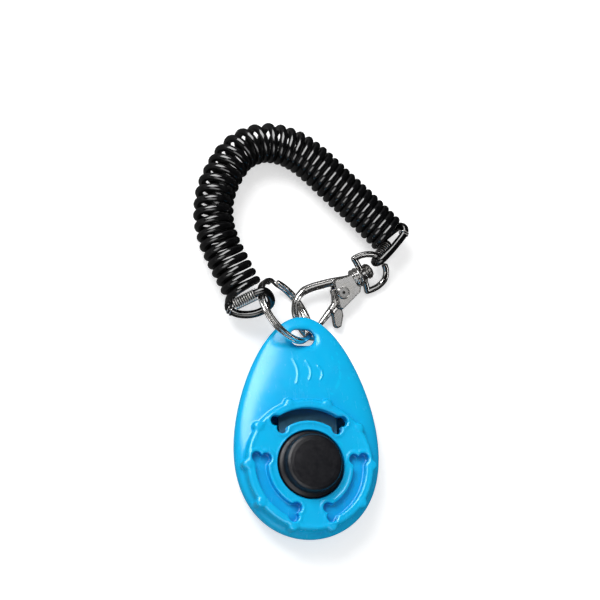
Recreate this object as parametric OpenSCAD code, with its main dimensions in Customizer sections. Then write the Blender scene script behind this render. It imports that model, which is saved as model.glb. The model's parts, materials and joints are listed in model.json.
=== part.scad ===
// Clicker trainer: an egg-shaped two-shell body with a thumb button over a
// steel click plate, a split ring through its tip, and a coiled wrist strap
// that hooks back on to the ring with a swivel trigger snap.
// Origin: back rest face, under the button's axis. +Z out of the button,
// +Y towards the strap hole, +X to the right of the button.

/* [Body] */
// Width of the egg body at its widest
body_w = 42.8; // [42.4:0.1:43.4]
// Length of the body from its round end to its tip
body_l = 65; // [64.6:0.1:65.6]
// Height of the parting line above the back face
part_z = 7; // [6.9:0.05:7.1]
// Wall thickness of both shells
wall = 1.6; // [1.4:0.1:1.8]
// Height of the bezel's top face
bezel_z = 13.4; // [13.3:0.1:13.6]
// Radius of the bezel platform
bezel_r = 19.2; // [18.9:0.1:19.4]
// Length of the strap hole
hole_l = 7.4; // [7.2:0.1:8]
// Width of the strap hole
hole_w = 4.8; // [4.6:0.1:5.2]

/* [Button and click plate] */
// Radius of the button's skirt
btn_r = 9.4; // [9.3:0.05:9.5]
// Gap round the skirt in the bezel
btn_gap = 0.35; // [0.25:0.05:0.45]
// Height of the button's top at rest
btn_z = 17.6; // [17:0.1:18]
// Height of the click plate's upper face
plate_z = 9.9; // [9.85:0.05:9.95]
// Thickness of the click plate
plate_t = 0.4; // [0.3:0.05:0.4]
// Width of the click plate
plate_w = 17; // [16:0.5:17]

/* [Strap] */
// Radius of the coil at the cord's centre line
coil_r = 4.75; // [4.65:0.05:4.8]
// Radius of the cord
cord_r = 0.98; // [0.9:0.01:1]
// Turns of the coil
turns = 39; // [36:1:39]
// Radius of the split ring at its wire's centre line
ring_r = 10; // [9.9:0.05:10.1]

/* [Snap hook] */
// Radius of the hook's rod
hook_r = 0.9; // [0.8:0.05:0.95]
// Radius of the D-ring's rod
dee_r = 0.9; // [0.8:0.05:0.95]
// Radius of the swivel rivet's shank
shank_r = 1.2; // [1.1:0.05:1.22]
// Radius of the gate's pin
pin_r = 0.8; // [0.7:0.05:0.82]

/* [Hidden] */
$fn = 64;

// ---------- curves and sweeps ----------
function unit(v) = v / norm(v);

// Smooth step from 0 at low to 1 at high
function smooth_step(low, high, x) =
    let (t = min(1, max(0, (x - low) / (high - low)))) t * t * (3 - 2 * t);

// Catmull-Rom curve through the points, with the given steps a span
function curve(points, steps) = let (last = len(points) - 1) [
    for (i = [0 : last - 1], j = [0 : steps - 1])
        let (p0 = points[max(0, i - 1)], p1 = points[i], p2 = points[i + 1],
             p3 = points[min(last, i + 2)], t = j / steps)
        0.5 * (2 * p1 + (p2 - p0) * t + (2 * p0 - 5 * p1 + 4 * p2 - p3) * t * t
            + (3 * p1 - p0 - 3 * p2 + p3) * t * t * t),
    points[last]];

// Unit tangents of an open or a closed path
function tangents(path, closed = false) = let (n = len(path)) [for (i = [0 : n - 1])
    unit(closed ? path[(i + 1) % n] - path[(i + n - 1) % n]
                : path[min(n - 1, i + 1)] - path[max(0, i - 1)])];

// First normal carried along the tangents without twist
function square_to(v, dir) = unit(v - (v * dir) * dir);
function carried(dirs, first) = [
    for (i = 0, v = square_to(first, dirs[0]);
         i < len(dirs);
         i = i + 1, v = i < len(dirs) ? square_to(v, dirs[i]) : v) v];

// Triangles over a stack of rings with k points each, numbered from first
function ring_faces(rings, k, closed = false, first = 0) = [
    for (i = [0 : rings - (closed ? 1 : 2)], j = [0 : k - 1])
        let (here = first + i * k, next = first + ((i + 1) % rings) * k, j2 = (j + 1) % k)
        each [[here + j, next + j, next + j2], [here + j, next + j2, here + j2]]];

// Rod along a path; radius is one number or one a point, and squash scales
// the section along the normal and across it
module rod(path, radius, sides, normal = [0, 0, 1], closed = false, squash = [1, 1]) {
    dirs = tangents(path, closed);
    normals = carried(dirs, normal);
    count = len(path);
    points = [for (i = [0 : count - 1])
        let (across = cross(dirs[i], normals[i]), r = is_list(radius) ? radius[i] : radius)
        for (j = [0 : sides - 1]) let (a = 360 * (j + 0.5) / sides)
            path[i] + r * (squash[0] * cos(a) * normals[i] + squash[1] * sin(a) * across)];
    ends = [[for (j = [0 : sides - 1]) j],
            [for (j = [sides - 1 : -1 : 0]) (count - 1) * sides + j]];
    polyhedron(points, concat(ring_faces(count, sides, closed), closed ? [] : ends));
}

// ---------- egg body ----------
egg_sides = 60;      // points round the outline
round_end = 21.4;    // from the button's axis to the body's round end
tip_pull = 9.5;      // how far the cavity's tip is drawn back
part_gap = 0.03;     // between the two shells at the parting line
front_mid_y = 4;     // where each shell's rings close in
back_mid_y = -1;
front_rise = [5.7, 4.0];  // outer and inner dome above the parting line
hole_at = [-0.1, 36.7];
tip_peg_y = 29;
side_peg_x = 16.2;
side_peg_y = -6.5;
peg_top = part_z + 2.1;
bore_top = part_z + 2.6;
post_x = 5.5;
post_y = 18.2;
stop_y = 19.6;
floor_z = wall - 0.2; // just inside the back wall, so posts fuse with it

// Ring sizes as shares of the outline, from the parting line to the middle
front_rings = [[1, 0.985, 0.95, 0.89, 0.8, 0.66, 0.45, 0.22],  // outer
               [1, 0.96, 0.88, 0.74, 0.5, 0.25]];              // inner
back_rings = [[1, 0.985, 0.95, 0.9, 0.84, 0.77, 0.7, 0.62],    // outer
              [1, 0.96, 0.9, 0.82, 0.72, 0.62]];               // inner

// Outline of the egg at angle a from its tip
function egg(a, inset, pull) =
    let (half_l = body_l / 2, c = cos(a),
         taper = 1 - 0.239 * c + 0.026 * c * c + 0.015 * c * c * c)
    [(0.975 * body_w / 2 - inset) * sin(a) * taper,
     half_l - round_end + (half_l - inset) * c - pull * pow((1 + c) / 2, 2)];

// Superellipse quarter: 1 at share 0 and 0 at share 1
function dome(share, power) = pow(max(0, 1 - pow(share, power)), 1 / power);
// Both shells get shallower towards the tip; the back is flat in the middle
function front_h(share, y) = dome(share, 2.6) * (1 - 0.28 * smooth_step(18, 42, y));
function back_h(share, y) =
    dome(max(0, (share - 0.62) / 0.38), 1.9) * (1 - 0.8 * smooth_step(27, 40, y));

// One skin of a shell, ring by ring
function skin(front, mid_y, rim_z, height, inset, pull, shares) = [
    for (share = shares, i = [0 : egg_sides - 1])
        let (p = egg(360 * i / egg_sides, inset, pull),
             x = p[0] * share, y = mid_y + (p[1] - mid_y) * share)
        [x, y, rim_z + height * (front ? front_h(share, y) : back_h(share, y))]];

// Closed shell of two skins joined at the parting line.
// heights, apex_z and rings each hold an outer and an inner entry.
module shell(front, mid_y, rim_z, heights, apex_z, rings) {
    n = egg_sides;
    outer = skin(front, mid_y, rim_z, heights[0], 0, 0, rings[0]);
    inner = skin(front, mid_y, rim_z, heights[1], wall, tip_pull, rings[1]);
    start = len(outer);
    apex = start + len(inner);
    outer_faces = [for (f = ring_faces(len(rings[0]), n)) [f[0], f[2], f[1]]];
    inner_faces = ring_faces(len(rings[1]), n, first = start);
    joins = [for (j = [0 : n - 1]) let (j2 = (j + 1) % n) each [
        [j, start + j2, j2],
        [j, start + j, start + j2],
        [start - n + j, start - n + j2, apex],
        [apex - n + j2, apex - n + j, apex + 1]]];
    polyhedron(concat(outer, inner, [for (z = apex_z) [0, mid_y, z]]),
        concat(outer_faces, inner_faces, joins));
}

// Flare at one end of the strap hole, widening upwards
module hole_flare(size, straight, end_r) {
    rise = size * 1.6;
    wide = end_r + size * 1.1;
    for (side = [-1, 1]) translate([side * straight, 0, 0])
        cylinder(r1 = end_r - 0.01, r2 = wide, h = rise);
    rotate([90, 0, 90]) translate([0, 0, -straight]) linear_extrude(2 * straight)
        polygon([[-end_r, 0], [end_r, 0], [wide, rise], [-wide, rise]]);
}

module strap_hole() translate([hole_at[0], hole_at[1], 0]) {
    straight = (hole_l - hole_w) / 2;
    end_r = hole_w / 2;
    for (side = [-1, 1]) translate([side * straight, 0, -5]) cylinder(r = end_r, h = 30);
    translate([-straight, -end_r, -5]) cube([hole_l - hole_w, hole_w, 30]);
    // softened edges at both faces: start height, 1 to face down, size
    for (edge = [[8.8, 0, 1.2], [7.4, 1, 1.6]])
        translate([0, 0, edge[0]]) mirror([0, 0, edge[1]])
            hole_flare(edge[2], straight, end_r);
}

// Bone-shaped cut round the button: a curved band with two lobes at each end
module bone() {
    mid_r = 15;
    half_angle = 35;
    band_w = 3.6;
    height = 20;
    for (end = [-1, 1], lobe = [-1, 1]) rotate([0, 0, end * half_angle])
        translate([mid_r + lobe * 1.35, 0, 0]) cylinder(r = 1.5, h = height);
    rotate([0, 0, -half_angle]) rotate_extrude(angle = 2 * half_angle)
        translate([mid_r - band_w / 2, 0]) square([band_w, height]);
}

module front_shell() color("deepskyblue") difference() {
    socket_z = part_z + 0.1;
    socket_h = 3.6;
    union() {
        difference() {
            shell(true, front_mid_y, part_z + part_gap, front_rise,
                [for (rise = front_rise) part_z + rise], front_rings);
            translate([0, 0, 8]) cylinder(r = 18, h = 10);
        }
        // bezel deck with its rim
        rotate_extrude() polygon([
            [8, 10.4], [18.4, 10.4], [bezel_r, 10.0], [bezel_r, bezel_z],
            [bezel_r - 0.3, bezel_z + 0.3], [bezel_r - 0.8, bezel_z + 0.3],
            [bezel_r - 1.1, bezel_z], [8, bezel_z]]);
        // ten bumps round the bezel
        for (i = [0 : 9]) rotate([0, 0, 36 * i])
            translate([bezel_r + 0.1, 0, 10.2]) cylinder(r = 1.0, h = 3.5);
        // sockets for the back shell's pegs
        translate([0, tip_peg_y, socket_z]) cylinder(r = 2.3, h = socket_h);
        for (side = [-1, 1]) translate([side * side_peg_x, side_peg_y, socket_z])
            cylinder(r = 1.9, h = socket_h);
        // stops over the click plate
        for (side = [-1, 1]) translate([side * post_x, stop_y, plate_z + 0.15])
            cylinder(r = 1.2, h = 1);
    }
    translate([0, 0, 5]) cylinder(r = btn_r + btn_gap, h = 20);
    // one bone cut right through towards the tip, two sunk in the deck
    rotate([0, 0, 90]) translate([0, 0, 5]) bone();
    for (a = [210, 330]) rotate([0, 0, a]) translate([0, 0, 11.2]) bone();
    // bores of the sockets
    translate([0, tip_peg_y, 0]) cylinder(r = 1.3, h = bore_top);
    for (side = [-1, 1]) translate([side * side_peg_x, side_peg_y, 0])
        cylinder(r = 1.1, h = bore_top);
    strap_hole();
}

module back_shell() color("deepskyblue") difference() {
    side_peg_z = wall + 0.8;
    depths = [part_z, part_z - wall];
    union() {
        mirror([0, 0, 1]) translate([0, 0, -part_z])
            shell(false, back_mid_y, 0, depths, depths, back_rings);
        // locating pegs
        translate([0, tip_peg_y, floor_z]) cylinder(r = 1.2, h = peg_top - floor_z);
        for (side = [-1, 1]) translate([side * side_peg_x, side_peg_y, side_peg_z])
            cylinder(r = 1.0, h = peg_top - side_peg_z);
        // posts under the click plate, with a pin through it
        for (side = [-1, 1]) translate([side * post_x, post_y, floor_z]) {
            cylinder(r = 1.6, h = plate_z - plate_t - 0.2 - floor_z);
            cylinder(r = 0.75, h = plate_z + 0.05 - floor_z);
        }
    }
    strap_hole();
}

module button_cap() color([0.07, 0.07, 0.08]) {
    rotate_extrude() polygon([
        // skirt and top, outside
        [8.2, 10.75], [btn_r, 10.75], [btn_r, 13.5], [9.1, 13.85], [8.15, 14.15], [7.9, 14.5],
        [7.75, btn_z - 1.1], [7.45, btn_z - 0.6], [6.9, btn_z - 0.3], [5, btn_z - 0.08],
        [0, btn_z],
        // middle stem and hollow
        [0, 10.55], [2.2, 10.55], [2.2, 15.9], [6.5, 15.9], [6.5, 13.2], [8.2, 12.9]]);
    // catches under the bezel
    catch_angle = 22;
    for (a = [0, 180, 270]) rotate([0, 0, a - catch_angle / 2])
        rotate_extrude(angle = catch_angle) polygon([
            [8.95, 9.15], [11, 9.15], [11, 10.25], [9.35, 10.25], [9.35, 11], [8.95, 11]]);
}

module click_plate() color([0.35, 0.33, 0.31]) {
    half_w = plate_w / 2;
    low_y = -8.5;
    high_y = 19.4;
    corner = 1;
    dimple_r = 3.6;
    dimple_h = 0.6;
    dimple = [for (i = [0 : 5]) let (x = dimple_r * i / 5)
        [x, dimple_h - dimple_h * x * x / (dimple_r * dimple_r)]];
    difference() {
        translate([0, 0, plate_z - plate_t]) linear_extrude(plate_t) polygon([
            [-half_w, low_y + corner], [-half_w + corner, low_y],
            [half_w - corner, low_y], [half_w, low_y + corner],
            [half_w, high_y - corner], [half_w - corner, high_y],
            [-half_w + corner, high_y], [-half_w, high_y - corner]]);
        translate([0, 0, plate_z - 1]) cylinder(r = 3.5, h = 2);
        for (side = [-1, 1]) translate([side * post_x, post_y, plate_z - 1])
            cylinder(r = 0.9, h = 2);
    }
    // pressed dimple
    translate([0, 0, plate_z]) rotate_extrude() polygon(concat(
        dimple, [for (i = [5 : -1 : 0]) dimple[i] - [0, plate_t]]));
}

// ---------- split ring ----------
ring_at = [-4.7, 44.5, 7.9];
ring_tilt = 43;
ring_heading = 34.8;  // direction of the ring's lowest point in plan

// Centre line, turned by a from the lowest point and lifted along the axis
function ring_point(a, lift) =
    let (down = [cos(ring_heading) * cos(ring_tilt), sin(ring_heading) * cos(ring_tilt),
                 -sin(ring_tilt)],
         level = [-sin(ring_heading), cos(ring_heading), 0])
    ring_at + ring_r * (cos(a) * down + sin(a) * level) + lift * cross(down, level);

module split_ring() color("silver") {
    // two turns side by side, with one step from the lower to the upper turn
    start = 62;
    first = 11;
    sweep = 698;
    steps = 86;
    path = [for (i = [0 : steps]) let (a = first + i * sweep / steps)
        ring_point(start + a, -0.5 + smooth_step(348, 372, a))];
    rod(path, 1, 8, ring_point(start + first, 0) - ring_at, squash = [0.68, 0.5]);
}

// ---------- coiled cord ----------
coil_z = 5.95;    // height of the coil's axis where its lift is 0
turn_steps = 10;  // points in one turn
coil_start = -30; // angle of the first point
coil_sweep = 360 * turns + 15;

// Axis of the coil from the ring's end to the snap hook's end: x, y, lift
arch = curve([
    [-16.8, 49.6, 2.4], [-18.9, 54.0, 2.1], [-21.4, 59.7, 1.5], [-23.4, 65.1, 0.9],
    [-24.4, 71.1, 0.3], [-23.6, 78.5, 0], [-20.7, 85.3, 0], [-16.0, 91.5, 0],
    [-8.8, 94.7, 0], [-1.2, 93.7, 0], [5.1, 90.1, 0], [12.7, 83.2, 0],
    [20.1, 76.3, 0.2], [28.2, 68.2, 0.5]], 8);
arch_dirs = tangents(arch);
arch_last = len(arch) - 1;

// Clockwise bend of the arch at point i, in radians
function bend(i) = (i < 1 || i >= arch_last) ? 0 :
    let (u = unit(arch[i] - arch[i - 1]), v = unit(arch[i + 1] - arch[i]))
    asin(u[1] * v[0] - u[0] * v[1]) * PI / 180;
// Running length that spaces the turns, shortened where the arch bends, as
// the inside of the coil closes up
function run_step(i) = i < arch_last ? norm(arch[i + 1] - arch[i]) - coil_r * bend(i) : 0;
run = [for (i = 0, s = 0; i <= arch_last; s = s + run_step(i), i = i + 1) s];
// Span of the arch that holds running length s
function span_at(s, i = 0) = (i >= arch_last - 1 || run[i + 1] >= s) ? i : span_at(s, i + 1);

// Point of the coil at a share of the run, at angle a round the axis
function coil_point(share, a) =
    let (s = share * run[arch_last], i = span_at(s), t = (s - run[i]) / (run[i + 1] - run[i]),
         mid = arch[i] + t * (arch[i + 1] - arch[i]),
         dir = unit(arch_dirs[i] + t * (arch_dirs[i + 1] - arch_dirs[i])))
    [mid[0] - coil_r * cos(a) * dir[1], mid[1] + coil_r * cos(a) * dir[0],
     mid[2] + coil_z + coil_r * sin(a)];
helix = [for (i = [0 : turn_steps * turns]) let (share = i / (turn_steps * turns))
    coil_point(share, coil_start + share * coil_sweep)];

// Loop at the split ring's end, from the cord's free end to the coil
left_eye = [
    [-20.2, 45.6, 9.2], [-18.3, 46.5, 10.4], [-16.2, 47.3, 12.2], [-14.3, 48.2, 13.8],
    [-12.5, 48.5, 14.4], [-10.7, 47.4, 13.4], [-9.8, 46.0, 11.5], [-10.7, 44.7, 9.8],
    [-13.1, 43.5, 8.6], [-15.9, 43.2, 7.3], [-18.6, 43.8, 6.0], [-20.6, 45.4, 5.2]];
// Loop at the D-ring's end, from the coil to the cord's free end
right_eye = [
    [32.1, 71.0, 7.3], [32.6, 69.8, 8.2], [31.8, 68.0, 8.4], [30.1, 65.9, 8.3],
    [28.2, 63.7, 8.2], [26.3, 61.7, 8.1], [24.9, 60.4, 7.3], [24.2, 60.3, 5.9],
    [24.3, 61.1, 4.5], [25.6, 62.9, 3.8], [27.4, 65.2, 3.7], [29.0, 67.2, 3.6]];

// Smoothed eye without the points that crowd the coil's last two
function eye_curve(points, end, next) = [for (p = curve(points, 3))
    if (norm(p - end) > 0.6 && norm(p - next) > 1.2) p];

module coil_cord() color([0.05, 0.05, 0.05]) {
    last = len(helix) - 1;
    path = concat(
        eye_curve(concat(left_eye, [helix[0], helix[1]]), helix[0], helix[1]),
        helix,
        eye_curve(concat([helix[last - 1], helix[last]], right_eye),
            helix[last], helix[last - 1]));
    rod(path, cord_r, 6);
}

// Wire bound round a straight piece of cord
module wrap(from, to, wire_turns) {
    dir = unit(to - from);
    side = unit(cross(dir, [0, 0, 1]));
    across = cross(dir, side);
    steps = wire_turns * 10;
    path = [for (i = [0 : steps]) from + (to - from) * i / steps
        + (cord_r + 0.4) * (cos(36 * i) * side + sin(36 * i) * across)];
    rod(path, 0.24, 5, side);
}
module eye_wrap_left() color("silver") wrap([-19.7, 45.85, 9.45], [-15.6, 47.55, 12.75], 9);
module eye_wrap_right() color("silver") wrap([25.9, 63.3, 3.78], [28.6, 66.7, 3.65], 7);

// ---------- swivel snap hook ----------
// Frame of the hook: x from the swivel to the hook's end, z out of its face
hook_at = [19.3, 56.4, 4.1];
hook_heading = 212;
hook_dip = 4;
hook_roll = -9;
dee_roll = -30;
pin_at = [7.4, 1.3, 0];
cheeks_w = 4.4;  // over both cheeks
slot_w = 2.2;    // between them
lever_w = 1.9;

module in_hook(roll = hook_roll) translate(hook_at)
    rotate([0, hook_dip, hook_heading]) rotate([roll, 0, 0]) children();

module d_ring() color("silver") in_hook(dee_roll) difference() {
    union() {
        bow = [for (a = [-90 : 9 : 90]) [-3.4 - 5.8 * cos(a), -0.3 + 6 * sin(a), 0]];
        bar = [[-2.4, 5.7, 0], [-1.5, 5.4, 0], [-1, 4.5, 0], [-1, 3, 0], [-1, 0, 0],
               [-1, -3, 0], [-1, -5.1, 0], [-1.5, -6, 0], [-2.4, -6.3, 0]];
        rod(concat(bow, bar), dee_r, 8, closed = true);
        // block round the rivet's hole
        translate([-1.85, -2.6, -1.9]) cube([1.7, 5.2, 3.8]);
    }
    translate([-4, 0, 0]) rotate([0, 90, 0]) cylinder(r = shank_r + 0.08, h = 6);
}

module swivel_rivet() color("silver") in_hook() rotate([0, 90, 0]) {
    rotate_extrude() polygon([
        [0, 2.2], [shank_r, 2.2], [shank_r, -1.95], [1.9, -1.95], [1.9, -2.5],
        [2.3, -2.6], [2.3, -3.2], [1.9, -3.8], [1.1, -4.15], [0, -4.25]]);
}

// Centre line of the hook's rod
hook_line = curve([
    [3.2, -0.9, 0], [6.3, -2.0, 0], [10.2, -3.2, 0], [14, -4.1, 0],
    [17.0, -4.3, 0], [19.5, -3.6, 0], [21.4, -1.8, 0], [22.6, 1.0, 0],
    [23.1, 4.0, 0], [22.8, 6.4, 0], [21.6, 8.0, 0], [20.2, 8.3, 0]], 4);
// Its radius at each point, tapering at the hook's end
hook_radii = [for (i = [0 : len(hook_line) - 1])
    hook_r * (1 - 0.25 * smooth_step(0.85, 1, i / (len(hook_line) - 1)))];

module clasp_body() color("silver") in_hook() difference() {
    union() {
        // two cheeks with the lever's slot between them, on a round collar
        translate([0, 0, -cheeks_w / 2]) linear_extrude(cheeks_w) polygon([
            [1.8, -1.4], [3.0, -1.8], [7.9, -2.9], [8.4, -2.2],
            [10.6, 4.6], [10.0, 5.4], [2.7, 3.8], [1.8, 2.6]]);
        rotate([0, 90, 0]) translate([0, 0, -0.05]) cylinder(r = 2.5, h = 2.3);
        rod(hook_line, hook_radii, 8);
    }
    translate([4.4, -1.7, -slot_w / 2]) cube([9, 9, slot_w]);
    rotate([0, 90, 0]) translate([0, 0, -1]) cylinder(r = shank_r + 0.02, h = 3.25);
    translate(pin_at - [0, 0, 5]) cylinder(r = pin_r + 0.02, h = 10);
}

module clasp_gate() color("silver") in_hook() difference() {
    union() {
        // thumb lever, then the gate's rod
        translate([0, 0, -lever_w / 2]) linear_extrude(lever_w) polygon([
            [5.4, 0.8], [6.2, -0.2], [8.4, -0.9], [9.8, -1.0], [10.2, 0.6], [11.3, 2.6],
            [12.8, 3.5], [12.9, 4.8], [14.3, 8.2], [14.1, 9.0], [13.5, 9.5], [12.5, 9.5],
            [10.3, 7.1], [9.4, 4.4], [6.6, 3.4], [5.5, 2.4]]);
        rod(curve([[11.2, 3.8, 0], [13.6, 4.7, 0], [16.6, 5.65, 0], [19.2, 6.4, 0]], 3),
            0.85, 8);
    }
    translate(pin_at - [0, 0, 5]) cylinder(r = pin_r + 0.08, h = 10);
    // room for the spring round the pin
    translate(pin_at + [0, 0, 0.05]) cylinder(r = 1.45, h = 2);
}

module gate_pin() color("gainsboro") in_hook() translate(pin_at) {
    cylinder(r = pin_r, h = 5.1, center = true);
    // a head outside each cheek
    for (flip = [0, 1]) mirror([0, 0, flip])
        translate([0, 0, cheeks_w / 2 + 0.05]) cylinder(r = 1.35, h = 0.35);
}

module gate_spring() color("gainsboro") in_hook() translate(pin_at) {
    coil_radius = 1.14;
    steps = 22;
    rod([for (i = [0 : steps])
        [coil_radius * cos(40 * i), coil_radius * sin(40 * i), 0.18 + 0.64 * i / steps]],
        0.1, 6, [1, 0, 0]);
}

front_shell();
back_shell();
button_cap();
click_plate();
split_ring();
coil_cord();
eye_wrap_left();
eye_wrap_right();
d_ring();
swivel_rivet();
clasp_body();
clasp_gate();
gate_pin();
gate_spring();
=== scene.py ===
import json
from functools import cache
from math import sin, cos, pi, radians, atan2
import numpy as np
import bpy
import openvdb
from mathutils import Vector, Matrix

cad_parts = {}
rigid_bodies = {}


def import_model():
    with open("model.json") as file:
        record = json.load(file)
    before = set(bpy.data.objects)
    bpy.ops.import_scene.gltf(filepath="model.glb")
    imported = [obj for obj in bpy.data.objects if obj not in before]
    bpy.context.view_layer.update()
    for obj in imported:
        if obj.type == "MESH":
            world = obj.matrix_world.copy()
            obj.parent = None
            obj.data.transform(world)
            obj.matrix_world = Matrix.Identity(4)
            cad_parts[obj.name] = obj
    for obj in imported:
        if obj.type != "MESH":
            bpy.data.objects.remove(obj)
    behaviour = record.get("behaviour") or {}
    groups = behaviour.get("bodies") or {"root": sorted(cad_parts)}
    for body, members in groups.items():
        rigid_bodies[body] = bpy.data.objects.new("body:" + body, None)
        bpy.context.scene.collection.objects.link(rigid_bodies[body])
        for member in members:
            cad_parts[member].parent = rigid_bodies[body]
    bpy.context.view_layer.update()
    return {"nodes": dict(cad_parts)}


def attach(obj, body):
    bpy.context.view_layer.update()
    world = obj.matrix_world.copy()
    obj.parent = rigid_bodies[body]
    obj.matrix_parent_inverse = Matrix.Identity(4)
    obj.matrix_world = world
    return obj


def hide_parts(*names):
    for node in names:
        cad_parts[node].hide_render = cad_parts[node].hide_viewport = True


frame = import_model()
MM = 0.001
scene = bpy.context.scene


# ------------------------------------------------------------------
# curves and blends
# ------------------------------------------------------------------
def unit(vector):
    vector = np.asarray(vector, float)
    return vector / np.linalg.norm(vector)


def smoothstep(low, high, x):
    t = np.clip((x - low) / (high - low), 0.0, 1.0)
    return t * t * (3 - 2 * t)


# On distance fields soft_max intersects, soft_min joins and carve cuts away.
# The last argument is the width over which the two surfaces blend.
def soft_max(a, b, blend):
    overlap = np.maximum(blend - np.abs(a - b), 0.0) / blend
    return np.maximum(a, b) + overlap * overlap * blend * 0.25


def soft_min(a, b, blend):
    return -soft_max(-a, -b, blend)


def carve(field, cutter, blend):
    return soft_max(field, -cutter, blend)


def band(value, low, high, blend):
    """Field that is negative where value lies between low and high."""
    return soft_max(value - high, low - value, blend)


def spline(points, steps):
    """Catmull-Rom curve through the points, with steps points per span."""
    points = np.asarray(points, float)
    last = len(points) - 1
    out = []
    for i in range(last):
        a, b, c, d = (points[max(0, i - 1)], points[i], points[i + 1],
                      points[min(last, i + 2)])
        for j in range(steps):
            t = j / steps
            out.append(0.5 * (2 * b + (c - a) * t + (2 * a - 5 * b + 4 * c - d) * t * t
                              + (3 * b - a - 3 * c + d) * t * t * t))
    out.append(points[-1])
    return np.array(out)


def tangents(line):
    steps = np.gradient(line, axis=0)
    return steps / np.linalg.norm(steps, axis=1)[:, None]


def run_length(line):
    """Length of the line up to each of its points."""
    return np.concatenate([[0], np.cumsum(np.linalg.norm(np.diff(line, axis=0), axis=1))])


def sample(at, run, values):
    return np.stack([np.interp(at, run, values[:, i]) for i in range(3)], -1)


def pose(x_axis, y_axis, z_axis, origin):
    matrix = np.eye(4)
    matrix[:3, :3] = np.column_stack([x_axis, y_axis, z_axis])
    matrix[:3, 3] = origin * MM
    return Matrix(matrix.tolist())


# ------------------------------------------------------------------
# meshes
# ------------------------------------------------------------------
def new_object(name, verts, faces, normals=None):
    mesh = bpy.data.meshes.new(name)
    mesh.from_pydata((np.asarray(verts) * MM).tolist(), [], [list(map(int, f)) for f in faces])
    mesh.update()
    mesh.validate(verbose=False)
    for polygon in mesh.polygons:
        polygon.use_smooth = True
    if normals is not None and len(normals) == len(mesh.vertices):
        mesh.normals_split_custom_set_from_vertices([tuple(n) for n in normals])
    ob = bpy.data.objects.new(name, mesh)
    scene.collection.objects.link(ob)
    return ob


def finish(ob, surface, part, node=None):
    ob.data.materials.append(surface.material)
    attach(ob, part)
    if node is not None:
        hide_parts(node)


MOST_TRIANGLES = 190000


def thinned(name, verts, faces, ratio):
    """Decimated copy of a mesh, as points and faces."""
    raw = new_object(name + "_raw", verts, faces)
    raw.modifiers.new("thin", "DECIMATE").ratio = ratio
    graph = bpy.context.evaluated_depsgraph_get()
    thin = bpy.data.meshes.new_from_object(raw.evaluated_get(graph), depsgraph=graph)
    coords = np.empty(len(thin.vertices) * 3, np.float32)
    thin.vertices.foreach_get("co", coords)
    faces = [tuple(p.vertices) for p in thin.polygons]
    raw_mesh = raw.data
    bpy.data.objects.remove(raw)
    bpy.data.meshes.remove(raw_mesh)
    bpy.data.meshes.remove(thin)
    return coords.reshape(-1, 3).astype(float) * 1000, faces


def field_solid(name, field, low, high, cell):
    """Closed mesh of field = 0. The grid's surface is moved on to the exact
    surface and takes its shading normals from the field's own gradient."""
    low = np.asarray(low, float)
    counts = [int(np.ceil((high[i] - low[i]) / cell)) + 1 for i in range(3)]
    axes = [low[i] + cell * np.arange(counts[i]) for i in range(3)]
    values = np.asarray(field(axes[0][:, None, None], axes[1][None, :, None],
                              axes[2][None, None, :]), np.float32)
    values = np.broadcast_to(values, tuple(counts)).copy()
    values = np.clip(values, -3 * cell, 3 * cell)
    grid = openvdb.FloatGrid(3 * cell)
    grid.copyFromArray(values)
    points, quads = grid.convertToQuads(0.0)
    verts = low + np.asarray(points, float) * cell
    faces = np.asarray(quads, np.int64)

    def gradient(at, e=0.012):
        x, y, z = at[:, 0], at[:, 1], at[:, 2]
        return np.stack([(field(x + e, y, z) - field(x - e, y, z)),
                         (field(x, y + e, z) - field(x, y - e, z)),
                         (field(x, y, z + e) - field(x, y, z - e))], 1) / (2 * e)

    def settle(at, rounds):
        """Newton steps on to the surface, each at most half a cell long."""
        for _ in range(rounds):
            slope = gradient(at)
            square = np.maximum((slope * slope).sum(1), 0.05)
            step = field(at[:, 0], at[:, 1], at[:, 2]) / square
            length = np.abs(step) * np.sqrt(square)
            step = step * np.minimum(1.0, 0.5 * cell / np.maximum(length, 1e-9))
            at = at - step[:, None] * slope
        return at

    verts = settle(verts, rounds=3)
    # a negative volume means the faces wind inwards
    a, b, c, d = (verts[faces[:, i]] for i in range(4))
    if (a * (np.cross(b, c) + np.cross(c, d))).sum() < 0:
        faces = faces[:, ::-1]
    if 2 * len(faces) > MOST_TRIANGLES:
        verts, faces = thinned(name, verts, faces, MOST_TRIANGLES / (2.0 * len(faces)))
        verts = settle(verts, rounds=2)
    slope = gradient(verts)
    normals = slope / np.maximum(np.linalg.norm(slope, axis=1), 1e-9)[:, None]
    return new_object(name, verts, faces, normals)


# rounded rod end: share of the end's length, share of the section's size
END_RINGS = [(0.5, 0.87), (0.8, 0.6), (0.96, 0.28)]


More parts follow.
